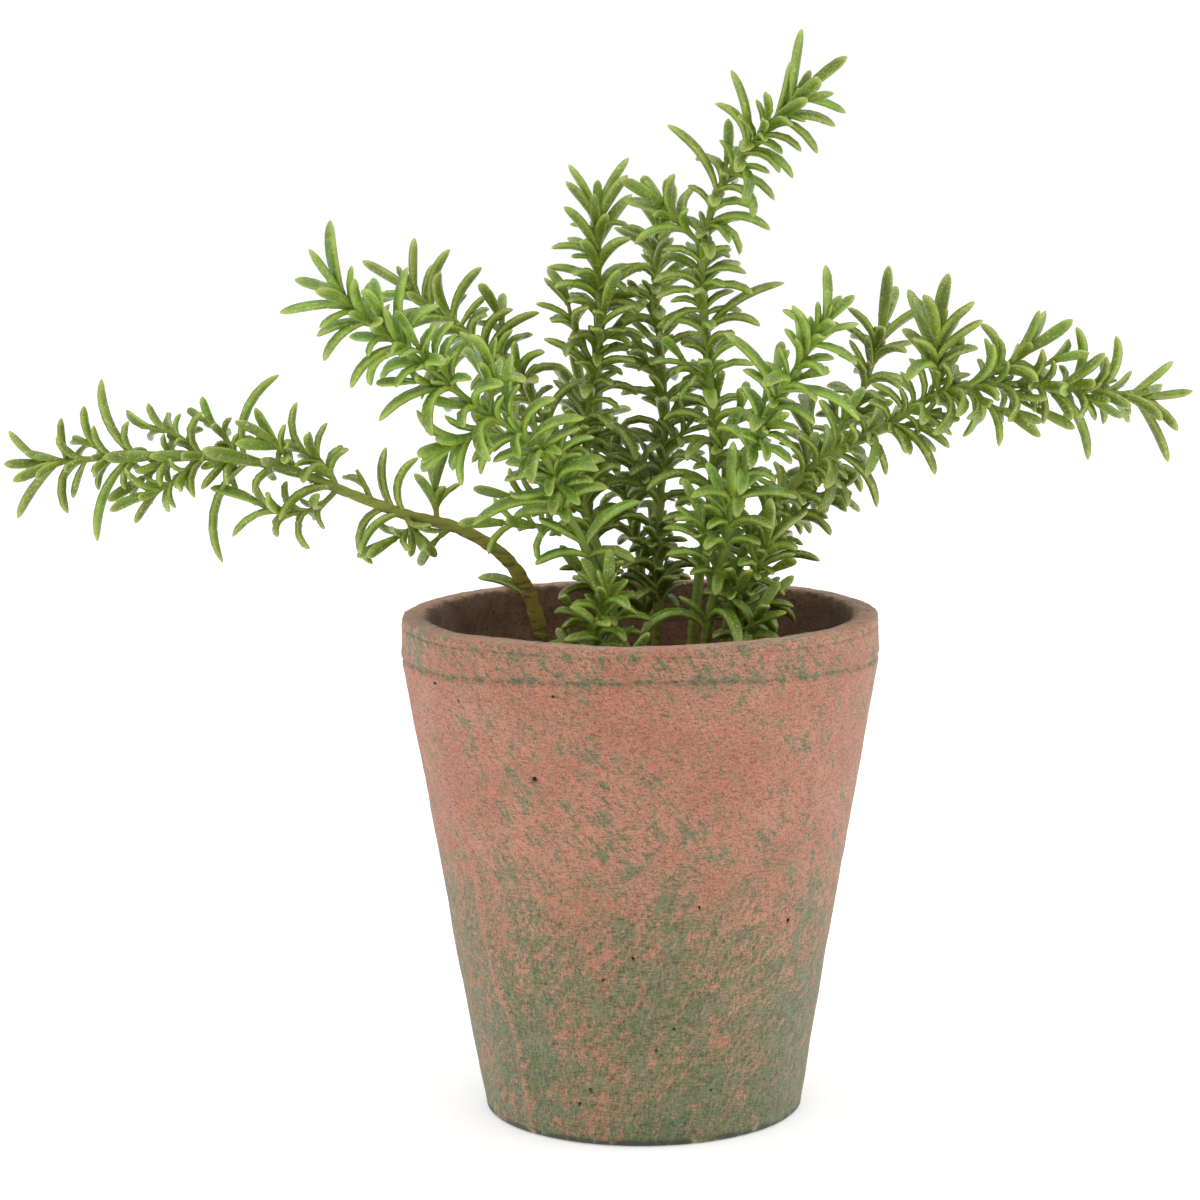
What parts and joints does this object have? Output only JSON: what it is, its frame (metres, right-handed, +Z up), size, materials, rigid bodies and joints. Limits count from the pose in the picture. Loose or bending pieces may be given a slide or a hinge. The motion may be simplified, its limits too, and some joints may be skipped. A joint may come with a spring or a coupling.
{
  "type": "potted rosemary plant",
  "caption": "Tapered terracotta-coloured plant pot with an upright collar, filled with soil, holding a loose bush of arching rosemary stems with curled needle leaves.",
  "frame": {"origin": "centre of the pot's flat foot, on the surface it stands on", "axes": "+Z up along the pot's axis, -Y towards the front that the picture shows, +X to the picture's right"},
  "size_m": [0.2969, 0.1251, 0.272],
  "materials": {
    "clay": "matt, with a brushed grey-green patina",
    "soil": "rough and crumbled",
    "leaf": "satin green, paler at the needle tips"
  },
  "bodies": {
    "root": {"pot": "clay", "soil": "soil", "stem_left_long": "leaf", "stem_left_front": "leaf", "stem_left_back": "leaf", "stem_centre_left": "leaf", "stem_tall": "leaf", "stem_centre_back": "leaf", "stem_right_front": "leaf", "stem_right_long": "leaf", "stem_right_back": "leaf", "stem_back": "leaf", "sprig_front_left": "leaf", "sprig_front_right": "leaf"}
  },
  "joints": []
}
